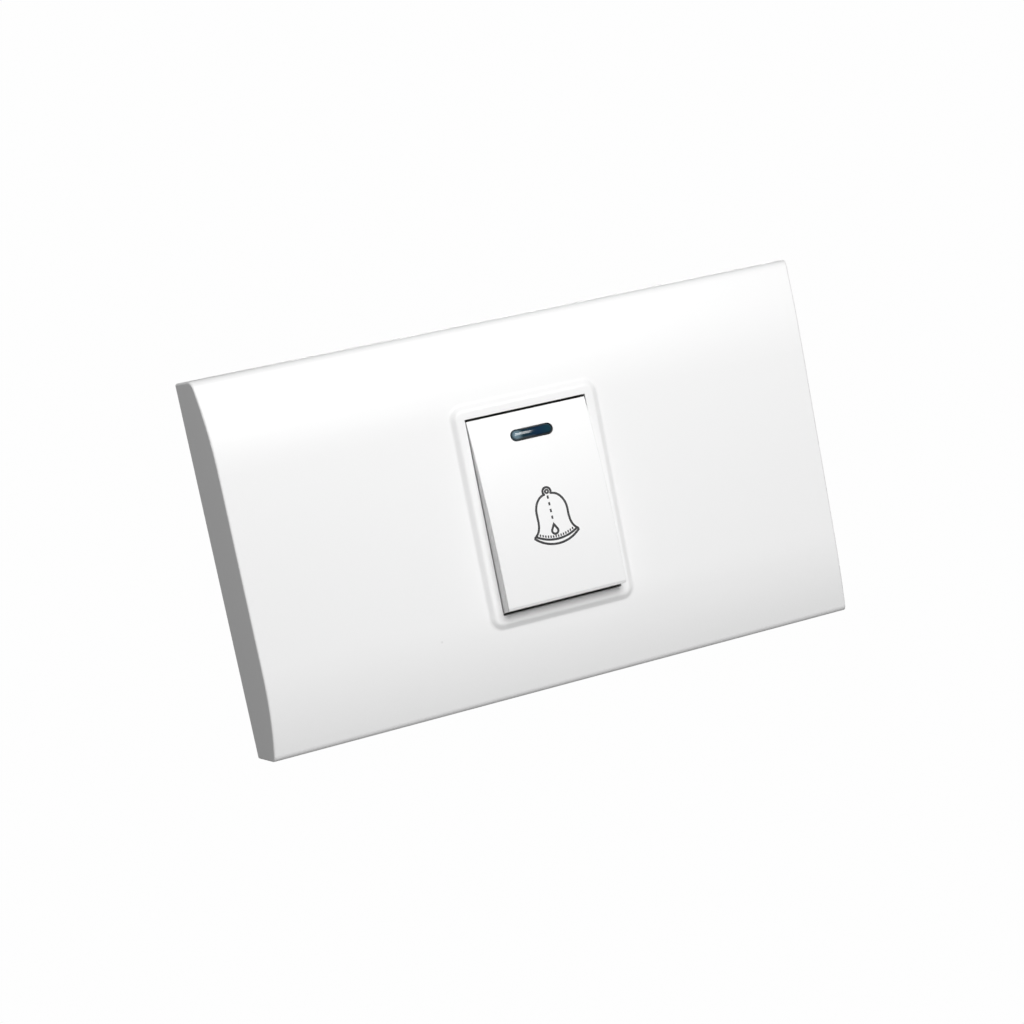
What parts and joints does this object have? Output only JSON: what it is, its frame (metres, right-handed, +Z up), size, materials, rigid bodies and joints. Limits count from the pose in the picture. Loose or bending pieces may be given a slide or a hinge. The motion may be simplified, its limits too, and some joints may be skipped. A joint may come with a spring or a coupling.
{
  "type": "doorbell switch",
  "caption": "Wall doorbell switch: a wide plate with a raised collar round a sprung rocker with lens and bell symbol, on a screwed frame that holds the contact module.",
  "frame": {"origin": "In the wall plane, at the centre of the plate, midway between the two wall box screws.", "axes": "+X to the right along the plate, +Y into the wall, +Z up; the face looks towards -Y."},
  "size_m": [0.12, 0.0368, 0.07],
  "materials": {
    "plate_white": "satin, lightly textured",
    "rocker_white": "satin",
    "lens_teal": "polished",
    "symbol_ink": "matt",
    "frame_grey": "matt",
    "housing_white": "matt",
    "screw_steel": "zinc plated",
    "spring_steel": "bright drawn",
    "contact_brass": "plain",
    "contact_silver": "polished",
    "lamp_glass": "clear",
    "resistor_tan": "matt",
    "tinned_wire": "tinned"
  },
  "bodies": {
    "base": {"cover_plate": "plate_white", "mounting_frame": "frame_grey", "box_screws": "screw_steel", "return_spring": "spring_steel", "left_terminal": "contact_brass", "right_terminal": "contact_brass", "fixed_tips": "contact_silver", "terminal_clamps": "screw_steel", "terminal_screws": "screw_steel", "neon_lamp": "lamp_glass", "lamp_resistor": "resistor_tan", "lamp_leads": "tinned_wire", "switch_housing": "housing_white", "housing_back": "housing_white", "housing_screws": "screw_steel"},
    "rocker": {"rocker": "rocker_white", "indicator_lens": "lens_teal", "bell_symbol": "symbol_ink", "contact_bridge": "contact_brass", "bridge_tips": "contact_silver", "bridge_spring": "spring_steel"}
  },
  "joints": [
    {"name": "rocker_press", "type": "hinge", "parent": "base", "child": "rocker", "pos_m": [0, -0.0042, 0.013], "axis": [1, 0, 0], "range_deg": [0, 6], "stiffness_Nm_per_rad": 0.27, "springref_deg": -17.19, "deforming": ["return_spring"]}
  ]
}
